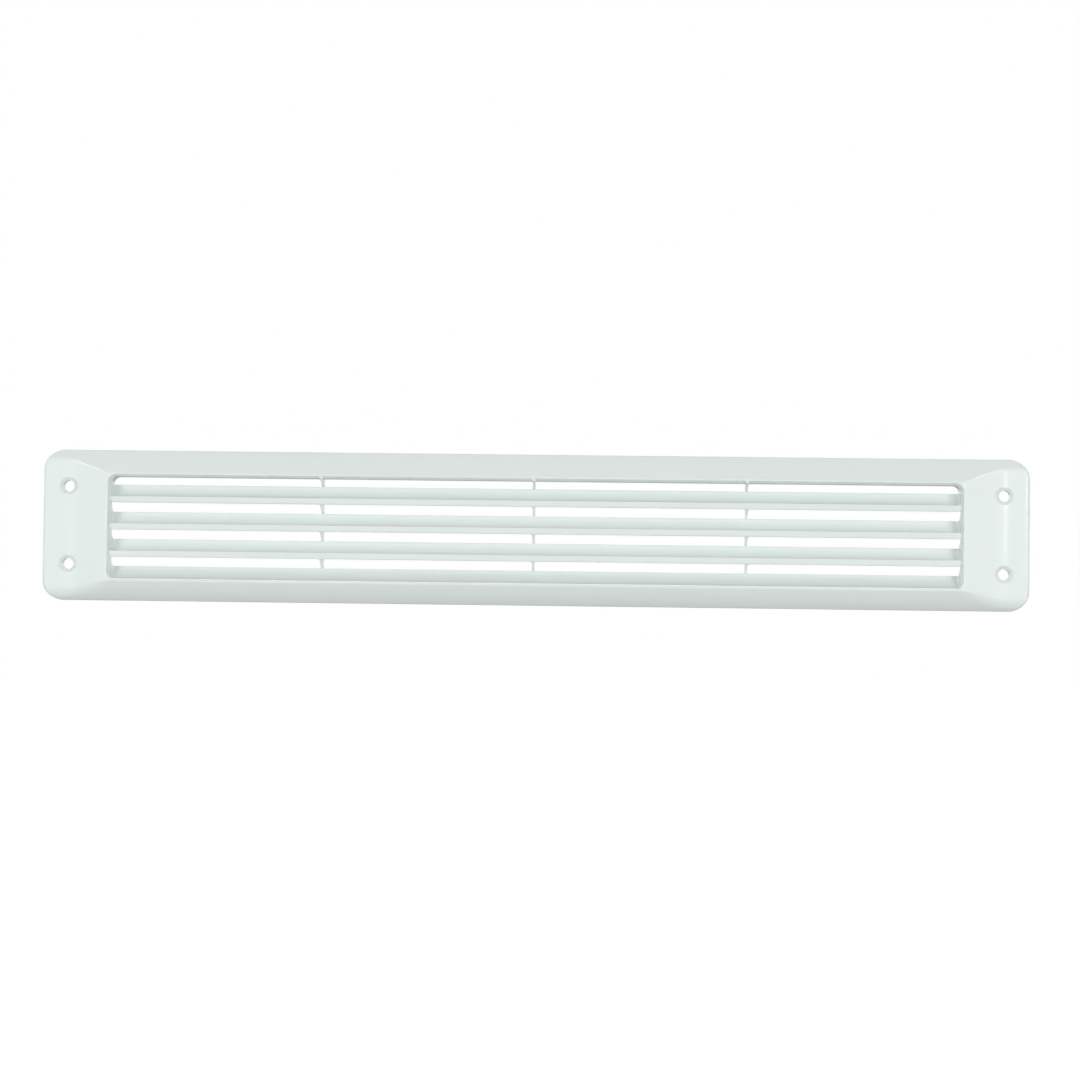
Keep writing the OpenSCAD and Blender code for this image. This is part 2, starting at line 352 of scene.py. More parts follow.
@dataclass(frozen=True)
class MouldedPlastic:
    """Glossy white plastic, moulded, with a cool green tint."""

    colour: tuple[float, float, float] = (0.812, 0.876, 0.858)
    mottled_colour: tuple[float, float, float] = (0.798, 0.866, 0.848)
    mottle_scale: float = 24.0
    roughness_low: float = 0.14
    roughness_high: float = 0.22
    polish_scale: float = 90.0
    ripple_scale: float = 520.0
    ripple_strength: float = 0.03
    ripple_depth: float = 1 * MM
    noise_detail: float = 3.0
    refraction: float = 1.5

    def material(self) -> bpy.types.Material:
        """Builds the node tree.

        Returns:
            The new material.
        """
        material = bpy.data.materials.new(SLOT)
        material.use_nodes = True
        nodes = material.node_tree.nodes
        links = material.node_tree.links
        shader = nodes["Principled BSDF"]
        shader.inputs["IOR"].default_value = self.refraction
        place = nodes.new("ShaderNodeTexCoord").outputs["Object"]

        mottle = self.noise(material, place, self.mottle_scale)
        tint = nodes.new("ShaderNodeMix")
        tint.data_type = "RGBA"
        tint.inputs["A"].default_value = (*self.colour, 1.0)
        tint.inputs["B"].default_value = (*self.mottled_colour, 1.0)
        links.new(mottle, tint.inputs["Factor"])
        links.new(tint.outputs["Result"], shader.inputs["Base Color"])

        polish = nodes.new("ShaderNodeMapRange")
        polish.inputs["To Min"].default_value = self.roughness_low
        polish.inputs["To Max"].default_value = self.roughness_high
        links.new(self.noise(material, place, self.polish_scale), polish.inputs["Value"])
        links.new(polish.outputs["Result"], shader.inputs["Roughness"])

        ripple = nodes.new("ShaderNodeBump")
        ripple.inputs["Strength"].default_value = self.ripple_strength
        ripple.inputs["Distance"].default_value = self.ripple_depth
        links.new(self.noise(material, place, self.ripple_scale), ripple.inputs["Height"])
        links.new(ripple.outputs["Normal"], shader.inputs["Normal"])
        return material

    def noise(
        self,
        material: bpy.types.Material,
        place: bpy.types.NodeSocket,
        scale: float,
    ) -> bpy.types.NodeSocket:
        """Adds a noise texture to the tree.

        Args:
            material: The material that the texture belongs to.
            place: The coordinates that it reads.
            scale: Its scale, per metre.

        Returns:
            The socket with the noise, from 0 to 1.
        """
        texture = material.node_tree.nodes.new("ShaderNodeTexNoise")
        texture.inputs["Scale"].default_value = scale
        texture.inputs["Detail"].default_value = self.noise_detail
        material.node_tree.links.new(place, texture.inputs["Vector"])
        return texture.outputs["Fac"]


@dataclass(frozen=True)
class Scoop:
    """A hollow slope in Y and Z: an arc from a foot at the front to a crest at the rear."""

    foot: Vector
    crest: Vector
    depth: float

    def radius(self) -> float:
        """Radius of the arc."""
        return (self.crest - self.foot).length ** 2 / (8 * self.depth) + self.depth / 2

    def centre(self) -> Vector:
        """Finds the centre of the arc, above it and in front.

        Returns:
            The centre, as Y and Z.
        """
        along = (self.crest - self.foot).normalized()
        inward = Vector((-along.y, along.x))
        return (self.foot + self.crest) / 2 + inward * (self.radius() - self.depth)

    def between(self, start: Vector, end: Vector, share: float, outset: float = 0.0) -> Vector:
        """Finds a point between the directions of two others.

        Args:
            start: The point whose direction has share 0.
            end: The point whose direction has share 1.
            share: How far round the point is.
            outset: How far outside the arc it is.

        Returns:
            The point.
        """
        centre = self.centre()
        start_angle = math.atan2(start.y - centre.y, start.x - centre.x)
        end_angle = math.atan2(end.y - centre.y, end.x - centre.x)
        angle = start_angle + (end_angle - start_angle) * share
        return centre + Vector((math.cos(angle), math.sin(angle))) * (self.radius() + outset)

    def height(self, y: float, outset: float) -> float:
        """Height of an arc outside this one, at a place from front to back."""
        centre = self.centre()
        return centre.y - math.sqrt((self.radius() + outset) ** 2 - (y - centre.x) ** 2)

    def depth_at(self, z: float, outset: float) -> float:
        """Place from front to back where an arc outside this one has a height."""
        centre = self.centre()
        return centre.x + math.sqrt((self.radius() + outset) ** 2 - (z - centre.y) ** 2)


@dataclass(frozen=True)
class Opening:
    """The air opening and its slots, which every piece is fitted to."""

    length: float = 369.4 * MM
    top: float = 21.2 * MM
    bottom: float = -22.9 * MM
    corner_radius: float = 2.8 * MM
    flare: float = 0.8 * MM
    end_relief: float = 1.0 * MM
    rib_pitch: float = 92.5 * MM
    rim_height: float = 10 * MM
    rim_radius: float = 0.5 * MM
    rib_head: float = 0.7 * MM
    blades: int = 3
    blade_rise: float = 7.95 * MM
    blade_thickness: float = 1.8 * MM
    top_gap: float = 3.35 * MM
    sill_rise: float = 5.1 * MM
    lip_back: float = -7.5 * MM
    rear_edge: float = -1.5 * MM

    def outline(self) -> Outline:
        """The opening's outline on the wall."""
        return Outline(self.length, self.bottom, self.top, self.corner_radius)

    def rib_middle(self, place: RibPlace) -> float:
        """Place of a rib's middle along the vent."""
        return place.value * self.rib_pitch

    def rim_margin(self) -> float:
        """How far the rim's crest stands outside the outline."""
        return self.flare + self.rim_radius

    def rim_back(self) -> float:
        """Place from front to back where the rim's round ends."""
        return self.rim_radius - self.rim_height

    def margin(self, y: float) -> float:
        """How far the walls stand outside the outline at a place from front to back."""
        share = (self.lip_back - y) / (self.lip_back - self.rim_back())
        return self.flare * min(max(share, 0.0), 1.0)

    def rear_height(self, index: int) -> float:
        """Height of a blade's rear edge, counted down from 0, with the sill after the blades."""
        room = self.top - self.bottom - self.top_gap - self.sill_rise
        return self.top - self.top_gap - index * room / self.blades

    def base(self, index: int) -> float:
        """Height of the bottom of a blade's lip."""
        return self.rear_height(index) - self.blade_rise

    def slot_front(self, slot: int, y: float) -> float:
        """Finds the slanted front of a slot, which runs down from a lip or the rim.

        Args:
            slot: The slot, counted down from 0.
            y: A place from front to back.

        Returns:
            The height of the slanted front there.
        """
        if slot:
            start = Vector((self.lip_back, self.base(slot - 1)))
        else:
            start = Vector((self.rim_back(), self.top + self.flare - self.rib_head))
        end = Vector((self.rear_edge, self.rear_height(slot)))
        return start.lerp(end, (y - start.x) / (end.x - start.x)).y


@dataclass(frozen=True)
class FaceFrame:
    """The hooded surround, with its flanges, screw holes and hollow back."""

    opening: Opening
    name: str = "moulded_face_frame"
    node: str = "face_frame"
    length: float = 430 * MM
    height: float = 66 * MM
    corner_radius: float = 9 * MM
    edge_height: float = 1.6 * MM
    top_rail_bulge: float = 0.1 * MM
    bottom_rail_bulge: float = 0.55 * MM
    flat_height: float = 5.2 * MM
    ramp_run: float = 20 * MM
    ramp_blend: float = 25 * MM
    crest_softness: float = 0.35 * MM
    top_mitre_softness: float = 0.6 * MM
    bottom_mitre_softness: float = 2.6 * MM
    rail_edge_round: float = 0.4 * MM
    end_edge_round: float = 1.5 * MM
    skin: float = 2.4 * MM
    wall: float = 2 * MM
    collar: float = 3.4 * MM
    web_thickness: float = 1.5 * MM
    back_round: float = 0.25 * MM
    inner_fillet: float = 0.5 * MM
    flare_bend: float = 0.4 * MM
    hole_diameter: float = 5 * MM
    countersink_diameter: float = 7.4 * MM
    boss_diameter: float = 9.6 * MM
    boss_round_share: float = 0.3
    hole_inset: float = 10.9 * MM
    hole_spacing: float = 34 * MM
    cutter_spare: float = 2 * MM
    relief_overlap: float = 0.05 * MM
    long_steps: int = 120
    short_steps: int = 28
    corner_steps: int = 32
    face_steps: int = 32
    back_steps: int = 14
    web_steps: int = 12
    turned_sides: int = 64

    def outline(self) -> Outline:
        """The frame's outline on the wall."""
        return Outline(self.length, -self.height / 2, self.height / 2, self.corner_radius)

    def rail_drop(self, distance: float, run: float, bulge: float) -> float:
        """Finds how far a rail's bulged slope has dropped below the rim.

        Args:
            distance: Distance outwards from the crest of the rim.
            run: Distance from the crest to the frame's edge.
            bulge: How far the slope bulges from a straight line.

        Returns:
            The drop, 0 at the crest and inside it.
        """
        if distance <= 0:
            return 0.0
        crest = Vector((0.0, self.opening.rim_height))
        toe = Vector((run, self.edge_height))
        chord = (toe - crest).length
        radius = chord * chord / (8 * bulge) + bulge / 2
        normal = Vector((crest.y - toe.y, run)).normalized()
        centre = (crest + toe) / 2 - normal * (radius - bulge)
        height = centre.y + math.sqrt(radius ** 2 - (distance - centre.x) ** 2)
        crest_slope = -centre.x / math.sqrt(radius ** 2 - centre.x ** 2)
        return self.opening.rim_height - height - self.softened(crest_slope, distance)

    def ramp_drop(self, distance: float) -> float:
        """Finds how far an end's ramp has dropped below the rim.

        Args:
            distance: Distance outwards from the crest of the rim.

        Returns:
            The drop, 0 at the crest and full over the flat.
        """
        if distance <= 0:
            return 0.0
        rise = self.opening.rim_height - self.flat_height
        root = math.sqrt(self.ramp_run ** 2 - (2 * self.ramp_blend - rise) * rise)
        angle = 2 * math.atan(rise / (self.ramp_run + root))
        to_flat = self.ramp_run - distance
        if to_flat <= 0:
            return rise
        if to_flat < self.ramp_blend * math.sin(angle):
            sag = self.ramp_blend - math.sqrt(self.ramp_blend ** 2 - to_flat ** 2)
            return rise - sag
        return distance * math.tan(angle) - self.softened(math.tan(angle), distance)

    def softened(self, slope: float, distance: float) -> float:
        """How much softer a crest is than a sharp one, for a slope that leaves it."""
        return slope * distance * math.exp(-distance / self.crest_softness)

    def face_height(self, spot: Vector) -> float:
        """Finds how far in front of the wall the face stands.

        Args:
            spot: The place on the wall, as X and Z.

        Returns:
            The height, where rails and ramps meet in a soft mitre.
        """
        opening = self.opening
        half = self.height / 2
        if spot.y > 0:
            run = half - opening.top - opening.rim_margin()
            bulge = self.top_rail_bulge
            softness = self.top_mitre_softness
        else:
            run = half + opening.bottom - opening.rim_margin()
            bulge = self.bottom_rail_bulge
            softness = self.bottom_mitre_softness
        rail = self.rail_drop(run - half + abs(spot.y), run, bulge)
        ramp = self.ramp_drop(abs(spot.x) - opening.length / 2 - opening.rim_margin())
        softness *= 1 - math.exp(-(rail + ramp) / softness)
        overlap = max(softness - abs(rail - ramp), 0.0)
        rounding = overlap ** 2 / (4 * softness) if overlap else 0.0
        return opening.rim_height - max(rail, ramp) - rounding

    def section(self, station: Station) -> list[Vector]:
        """Draws the section across the frame at one station.

        Args:
            station: The place on the way round.

        Returns:
            The points from the back edge over the face and the rim, and back
            through the hollow. The last point is the first one.
        """
        points = self.face_points(station) + self.rim_points(station) + self.hollow_points(station)
        points.append(points[0].copy())
        return points

    def face_points(self, station: Station) -> list[Vector]:
        """Draws the outer edge of the frame and its face.

        Args:
            station: The place on the way round.

        Returns:
            The points from the back edge to the crest of the rim.
        """
        outer = self.outline()
        back = self.back_round
        points = []
        for sine, cosine in quarter(SMALL_ARC_STEPS):
            points.append(in_front(outer.at(station, back * (sine - 1)), back * (1 - cosine)))
        edge = self.rail_edge_round
        edge += (self.end_edge_round - self.rail_edge_round) * station.normal_x ** 2
        for sine, cosine in quarter(ARC_STEPS):
            spot = outer.at(station, edge * (cosine - 1))
            points.append(in_front(spot, self.face_height(spot) - edge * (1 - sine)))
        toe = outer.at(station, -edge)
        crest = self.opening.outline().at(station, self.opening.rim_margin())
        for share in shares(self.face_steps):
            spot = toe.lerp(crest, share)
            points.append(in_front(spot, self.face_height(spot)))
        return points

    def rim_points(self, station: Station) -> list[Vector]:
        """Draws the round of the rim and the bend of the flared wall behind it.

        Args:
            station: The place on the way round.

        Returns:
            The points from the crest of the rim to where the wall runs straight back.
        """
        opening = self.opening
        inner = opening.outline()
        rim = opening.rim_radius
        bend = self.flare_bend
        points = []
        lean = math.atan2(opening.flare, opening.lip_back - opening.rim_back())
        for share in shares(ARC_STEPS):
            angle = (math.pi / 2 - lean) * share
            spot = inner.at(station, opening.rim_margin() - rim * math.sin(angle))
            points.append(in_front(spot, opening.rim_height - rim * (1 - math.cos(angle))))
        widest = opening.margin(opening.lip_back - bend)
        for turn in (-1, 0, 1):
            margin = widest * ((1 - turn) / 2) ** 2
            points.append(in_front(inner.at(station, margin), -opening.lip_back - turn * bend))
        return points

    def hollow_points(self, station: Station) -> list[Vector]:
        """Draws the collar's back, the hollow behind the face and the outer wall's back.

        Args:
            station: The place on the way round.

        Returns:
            The points from the opening's wall to the inside of the frame's edge.
        """
        outer = self.outline()
        inner = self.opening.outline()
        back = self.back_round
        fillet = self.inner_fillet
        points = []
        for sine, cosine in quarter(SMALL_ARC_STEPS):
            points.append(in_front(inner.at(station, back * (1 - cosine)), back * (1 - sine)))
        for sine, cosine in quarter(SMALL_ARC_STEPS):
            points.append(in_front(inner.at(station, self.collar - back * (1 - sine)), back * (1 - cosine)))
        for sine, cosine in quarter(SMALL_ARC_STEPS):
            spot = inner.at(station, self.collar + fillet * (1 - cosine))
            points.append(in_front(spot, self.face_height(spot) - self.skin - fillet * (1 - sine)))
        near = inner.at(station, self.collar + fillet)
        far = outer.at(station, -self.wall - fillet)
        for share in shares(self.back_steps):
            spot = near.lerp(far, share)
            points.append(in_front(spot, self.face_height(spot) - self.skin))
        for sine, cosine in quarter(SMALL_ARC_STEPS)[1:]:
            spot = outer.at(station, -self.wall - fillet * (1 - sine))
            points.append(in_front(spot, self.face_height(spot) - self.skin - fillet * (1 - cosine)))
        for sine, cosine in quarter(SMALL_ARC_STEPS):
            points.append(in_front(outer.at(station, -self.wall + back * (1 - cosine)), back * (1 - sine)))
        return points

    def shell(self) -> Piece:
        """Lofts the moulding round the opening.

        Returns:
            The new object, with no holes yet.
        """
        stations = ring_stations(self.long_steps, self.short_steps, self.corner_steps)
        sections = [self.section(station) for station in stations]
        return loft(self.name, list(zip(*sections)), Ends.JOINED)

    def hole_places(self) -> list[Vector]:
        """Finds the centres of the four screw holes.

        Returns:
            The centres, as X and Z.
        """
        reach_x = self.length / 2 - self.hole_inset
        reach_z = self.hole_spacing / 2
        return [Vector((end.value * reach_x, rail.value * reach_z)) for end in VentEnd for rail in Rail]

    def turned(self, name: str, spot: Vector, profile: Profile) -> Piece:
        """Turns a round solid that stands on the wall.

        Args:
            name: Name of the new object.
            spot: Its centre, as X and Z.
            profile: Height in front of the wall and radius, in steps.

        Returns:
            The new object.
        """
        turns = [2 * math.pi * step / self.turned_sides for step in range(self.turned_sides)]
        loops = []
        for depth, radius in profile:
            loops.append([
                in_front(spot + Vector((math.cos(turn), math.sin(turn))) * radius, depth)
                for turn in turns
            ])
        return loft(name, loops, Ends.CAPPED)

    def boss(self, spot: Vector) -> Piece:
        """Builds the boss behind one screw hole.

        Args:
            spot: The hole's centre, as X and Z.

        Returns:
            The new object, which sinks into the skin.
        """
        radius = self.boss_diameter / 2
        back = self.back_round
        middle = back * self.boss_round_share
        depth = self.flat_height - self.skin / 2
        profile = [(0.0, radius - back), (middle, radius - middle), (back, radius), (depth, radius)]
        return self.turned("boss", spot, profile)

    def screw_cutter(self, spot: Vector) -> Piece:
        """Builds what a screw's bore and countersink take away.

        Args:
            spot: The hole's centre, as X and Z.

        Returns:
            The new object.
        """
        bore = self.hole_diameter / 2
        mouth = self.countersink_diameter / 2
        start = self.flat_height - (mouth - bore)
        spare = self.cutter_spare
        profile = [(-spare, bore), (start, bore), (self.flat_height + spare, mouth + spare)]
        return self.turned("screw_cutter", spot, profile)

    def cross_web(self, place: RibPlace, rail: Rail) -> Piece:
        """Builds a web across the hollow of a rail, in line with a rib.

        Args:
            place: The place of the rib.
            rail: The rail.

        Returns:
            The new object, which sinks into the walls and the skin.
        """
        opening = self.opening
        middle = opening.rib_middle(place)
        start = opening.top if rail is Rail.TOP else -opening.bottom
        sunk = self.wall / 2
        gap = self.back_round
        loops = []
        for share in [0.0] + shares(self.web_steps):
            z = rail.value * (start + sunk + share * (self.height / 2 - start - 2 * sunk))
            front = self.face_height(Vector((middle, z))) - self.skin / 2
            loops.append([
                Vector((middle + x * self.web_thickness / 2, -depth, z))
                for x, depth in ((-1, gap), (1, gap), (1, front), (-1, front))
            ])
        return loft("cross_web", loops, Ends.CAPPED)

    def relief_cutter(self, end: VentEnd) -> Piece:
        """Builds what is taken from one end of the opening behind the slots.

        Args:
            end: The end of the vent.

        Returns:
            The new object, which reaches a little into the blades and the opening.
        """
        opening = self.opening
        rear = opening.rear_edge - self.relief_overlap
        behind = self.cutter_spare
        top = opening.rear_height(0)
        section = [(behind, top), (rear, top)]
        for index in range(opening.blades):
            section += [
                (rear, opening.rear_height(index) - opening.blade_thickness),
                (opening.lip_back, opening.base(index)),
                (rear, opening.slot_front(index + 1, rear)),
            ]
        section += [(rear, opening.bottom), (behind, opening.bottom)]
        half = opening.length / 2
        loops = [
            [Vector((end.value * x, y, z)) for y, z in section]
            for x in (half - self.wall, half + opening.end_relief)
        ]
        return loft("relief_cutter", loops, Ends.CAPPED)

    def build(self, material: bpy.types.Material) -> Piece:
        """Builds and dresses the frame.

        Args:
            material: Its finish.

        Returns:
            The finished piece.
        """
        piece = self.shell()
        inner_parts = [self.boss(spot) for spot in self.hole_places()]
        inner_parts += [self.cross_web(place, rail) for place in RibPlace for rail in Rail]
        combine(piece, join(inner_parts), Cut.JOIN)
        cutters = [self.screw_cutter(spot) for spot in self.hole_places()]
        cutters += [self.relief_cutter(end) for end in VentEnd]
        combine(piece, join(cutters), Cut.TAKE_AWAY)
        dress(piece, material, self.node)
        return piece


@dataclass(frozen=True)
class LouvreBlade:
    """A blade that scoops down to a lip at the front."""

    opening: Opening
    name: str
    node: str
    index: int
    lip_height: float = 2.8 * MM
    lip_thickness: float = 1.1 * MM
    lip_lean: float = 0.6 * MM
    lip_round: float = 0.3 * MM
    lip_under_round: float = 0.7 * MM
    lip_upstand: float = 0.9 * MM
    valley_round: float = 0.2 * MM
    scoop_depth: float = 1.15 * MM
    crest_radius: float = 0.35 * MM
    edge_round: float = 0.25 * MM
    end_fillet: float = 2.0 * MM
    front_fillet: float = 1.2 * MM
    sunk: float = 0.3 * MM
    bar_steps: int = 40
    scoop_steps: int = 12
    fillet_steps: int = 8

    def base(self) -> float:
        """Height of the flat bottom at the front."""
        return self.opening.base(self.index)

    def foot(self) -> Vector:
        """The front end of the scoop, in the valley behind the lip."""
        return Vector((self.opening.lip_back, self.base() + self.lip_height - self.lip_upstand))

    def scoop(self) -> Scoop:
        """The scoop on top of the blade."""
        crest = Vector((
            self.opening.rear_edge - 2 * self.crest_radius,
            self.opening.rear_height(self.index) - self.crest_radius,
        ))
        return Scoop(self.foot(), crest, self.scoop_depth)

    def underside(self, y: float) -> float:
        """Height of the underside at a place from front to back."""
        return self.scoop().height(y, self.opening.blade_thickness)

    def front_corners(self) -> list[Corner]:
        """Lists the corners of the lip and of the valley behind it.

        Returns:
            The corners, from the bottom of the lip.
        """
        lip_front = self.opening.lip_back - self.lip_thickness
        lip_top = self.base() + self.lip_height
        foot = self.foot()
        return [
            Corner(lip_front + self.lip_lean, self.base(), self.lip_under_round),
            Corner(lip_front, lip_top, self.lip_round),
            Corner(foot.x, lip_top, self.lip_round),
            Corner(foot.x, foot.y, self.valley_round),
        ]

    def rear_corners(self) -> list[Corner]:
        """Lists the corners of the scoop, the rounded crest and the underside.

        Returns:
            The corners, from the front of the scoop to the front of the underside.
        """
        scoop = self.scoop()
        rear = self.opening.rear_edge
        height = self.opening.rear_height(self.index)
        thickness = self.opening.blade_thickness
        corners = []
        for share in shares(self.scoop_steps)[:-1]:
            point = scoop.between(scoop.foot, scoop.crest, share)
            corners.append(Corner(point.x, point.y))
        corners += [
            Corner(scoop.crest.x, height, self.crest_radius),
            Corner(rear, height, self.crest_radius),
            Corner(rear, self.underside(rear), self.edge_round),
        ]
        start = Vector((rear, self.underside(rear)))
        end = Vector((scoop.depth_at(self.base(), thickness), self.base()))
        for share in shares(self.scoop_steps):
            point = scoop.between(start, end, share, thickness)
            corners.append(Corner(point.x, point.y))
        return corners

    def bar(self) -> Piece:
        """Lofts the blade from one end of the opening to the other.

        Returns:
            The new object, which sinks into both walls.
        """
        section = rounded_section(self.front_corners() + self.rear_corners())
        reach = self.opening.length / 2 + self.opening.end_relief + self.sunk
        loops = []
        for share in [0.0] + shares(self.bar_steps):
            x = (2 * share - 1) * reach
            loops.append([Vector((x, point.x, point.y)) for point in section])
        return loft(self.name, loops, Ends.CAPPED)

    def fillet(self, end: VentEnd) -> Piece:
        """Builds the hollow fillet between the scoop and one end of the opening.

        Args:
            end: The end of the vent.

        Returns:
            The new object, which sinks into the blade and the wall.
        """
        scoop = self.scoop()
        loops = []
        for share in [0.0] + shares(self.scoop_steps):
            radius = self.front_fillet + (self.end_fillet - self.front_fillet) * share
            foot = scoop.between(scoop.foot, scoop.crest, share)
            up = (scoop.centre() - foot).normalized()
            profile = [(-self.sunk, -self.sunk), (radius, -self.sunk)]
            for sine, cosine in quarter(self.fillet_steps):
                profile.append((radius * (1 - sine), radius * (1 - cosine)))
            profile.append((-self.sunk, radius))
            loops.append([self.wall_point(end, away, foot + up * rise) for away, rise in profile])
        return loft("end_fillet", loops, Ends.CAPPED)

    def wall_point(self, end: VentEnd, away: float, point: Vector) -> Vector:
        """A point in Y and Z, at a distance from one end of the opening."""
        return Vector((end.value * (self.opening.length / 2 - away), point.x, point.y))

    def build(self, material: bpy.types.Material) -> Piece:
        """Builds and dresses the blade.

        Args:
            material: Its finish.

        Returns:
            The finished piece.
        """
        piece = join([self.bar()] + [self.fillet(end) for end in VentEnd])
        dress(piece, material, self.node)
        return piece


@dataclass(frozen=True)
class SillBlade(LouvreBlade):
    """The bottom of the opening, a scoop that starts behind the rim."""

    sill_edge: float = 0.5 * MM

    def base(self) -> float:
        """Height where the underside sinks into the bottom wall."""
        return self.opening.bottom - self.sunk

    def foot(self) -> Vector:
        """The front end of the scoop, on top of the sill's low front face."""
        opening = self.opening
        return Vector((opening.rim_back(), opening.bottom - opening.flare + self.sill_edge))

    def front_corners(self) -> list[Corner]:
        """Lists the corners of the low front face, which is sunk in the wall below it.

        Returns:
            The corners, from the bottom.
        """
        opening = self.opening
        foot = self.foot()
        return [
            Corner(opening.lip_back, self.base()),
            Corner(foot.x, self.base() - opening.flare),
            Corner(foot.x, foot.y, self.edge_round),
        ]


@dataclass(frozen=True)
class TieRib:
    """A rib that stands across the opening behind the slots."""

    opening: Opening
    blades: tuple[LouvreBlade, ...]
    name: str
    node: str
    place: RibPlace
    thickness: float = 1.05 * MM
    flare: float = 0.9 * MM
    head_flare: float = 0.4 * MM
    chamfer: float = 0.15 * MM
    tip: float = 0.1 * MM
    least_rise: float = 0.01 * MM
    sunk: float = 0.4 * MM
    web_steps: int = 12
    flare_steps: int = 6
    chamfer_steps: int = 2

    def half_width(self, flare: float, drop: float) -> float:
        """Half the rib's width at a distance below the surface that it flares out to."""
        spread = flare - min(max(drop, 0.0), flare)
        return self.thickness / 2 + flare - math.sqrt(flare ** 2 - spread ** 2)

    def web(self, slot: int) -> Piece:
        """Builds the web behind one slot, which flares out under what is above it.

        Args:
            slot: The slot, counted down from 0.

        Returns:
            The new object, which sinks into what is above it.
        """
        opening = self.opening
        front = opening.lip_back + self.tip if slot else opening.rim_back()
        rear = opening.rear_edge + self.tip
        flare = self.flare if slot else self.head_flare
        middle = opening.rib_middle(self.place)
        loops = []
        for share in [0.0] + shares(self.web_steps):
            y = front + (rear - front) * share
            top = self.blades[slot - 1].underside(y) if slot else opening.top
            low = opening.slot_front(slot, min(y, opening.rear_edge))
            heights = [low + self.chamfer]
            for sine, cosine in quarter(self.flare_steps):
                heights.append(max(top - flare * (1 - sine), heights[-1] + self.least_rise))
            sides = [(self.half_width(flare, top - low) - self.chamfer, low)]
            sides += [(self.half_width(flare, top - height), height) for height in heights]
            roof = max(top + opening.margin(y), heights[-1]) + self.sunk
            sides.append((self.half_width(flare, 0.0), roof))
            right = [Vector((middle + away, y, z)) for away, z in sides]
            left = [Vector((middle - away, y, z)) for away, z in reversed(sides)]
            loops.append(right + left)
        return loft("web", loops, Ends.CAPPED)

    def spine(self) -> Piece:
        """Builds the whole part of the rib, behind the blades.

        Returns:
            The new object, which sinks into the frame above and below.
        """
        opening = self.opening
        rear = opening.rear_edge
        clear_selection()
        bpy.ops.mesh.primitive_cube_add(
            size=1.0,
            location=(opening.rib_middle(self.place), rear / 2, (opening.top + opening.bottom) / 2),
            scale=(self.thickness, -rear, opening.top - opening.bottom + 2 * self.sunk),
        )
        spine = bpy.context.active_object
        bpy.ops.object.transform_apply(location=True, rotation=True, scale=True)
        bpy.ops.object.mode_set(mode="EDIT")
        bpy.ops.mesh.select_all(action="SELECT")
        bpy.ops.mesh.bevel(offset=self.chamfer, segments=self.chamfer_steps)
        bpy.ops.object.mode_set(mode="OBJECT")
        return spine

    def build(self, material: bpy.types.Material) -> Piece:
        """Builds and dresses the rib.

        Args:
            material: Its finish.

        Returns:
            The finished piece.
        """
        webs = [self.web(slot) for slot in range(self.opening.blades + 1)]
        piece = join([self.spine()] + webs)
        piece.name = self.name
        piece.data.name = self.name
        dress(piece, material, self.node)
        return piece


@dataclass(frozen=True)
class PhotoCamera:
    """The camera, at the photograph's viewing angle."""

    lens: float = 76.2
    sensor: float = 36.0
    distance: float = 1.0
    target: tuple[float, float, float] = (0.00273, 0.0, -0.00422)
    yaw: float = math.radians(1.625)
    pitch: float = math.radians(1.368)
    roll: float = math.radians(0.716)

    def build(self) -> None:
        """Adds the camera and makes it the scene's camera."""
        forward = Vector((
            -math.sin(self.yaw) * math.cos(self.pitch),
            math.cos(self.yaw) * math.cos(self.pitch),
            math.sin(self.pitch),
        ))
        level = Vector((math.cos(self.yaw), math.sin(self.yaw), 0.0))
        upright = level.cross(forward)
        right = level * math.cos(self.roll) + upright * math.sin(self.roll)
        up = upright * math.cos(self.roll) - level * math.sin(self.roll)
        clear_selection()
        bpy.ops.object.camera_add()
        camera = bpy.context.active_object
        camera.name = "photo_camera"
        camera.data.lens = self.lens
        camera.data.sensor_width = self.sensor
        eye = Vector(self.target) - forward * self.distance
        turn = Matrix((right, up, -forward)).transposed().to_4x4()
        camera.matrix_world = Matrix.Translation(eye) @ turn
        bpy.context.scene.camera = camera


@dataclass(frozen=True)
class Softbox:
    """An area light that faces the vent.

    One that isn't mirrored doesn't show in gloss. One that doesn't light up shows
    only there.
    """

    name: str
    place: tuple[float, float, float]
    size: tuple[float, float]
    power: float
    mirrored: bool = True
    lights_up: bool = True

    def build(self) -> None:
        """Places the light, hidden from the camera."""
        clear_selection()
        bpy.ops.object.light_add(type="AREA", location=self.place)
        light = bpy.context.active_object
        light.name = self.name
        light.data.shape = "RECTANGLE"
        light.data.size, light.data.size_y = self.size
        light.data.energy = self.power
        light.rotation_euler = Vector(self.place).to_track_quat("Z", "Y").to_euler()
        light.visible_camera = False
        light.visible_glossy = self.mirrored
        light.visible_diffuse = self.lights_up


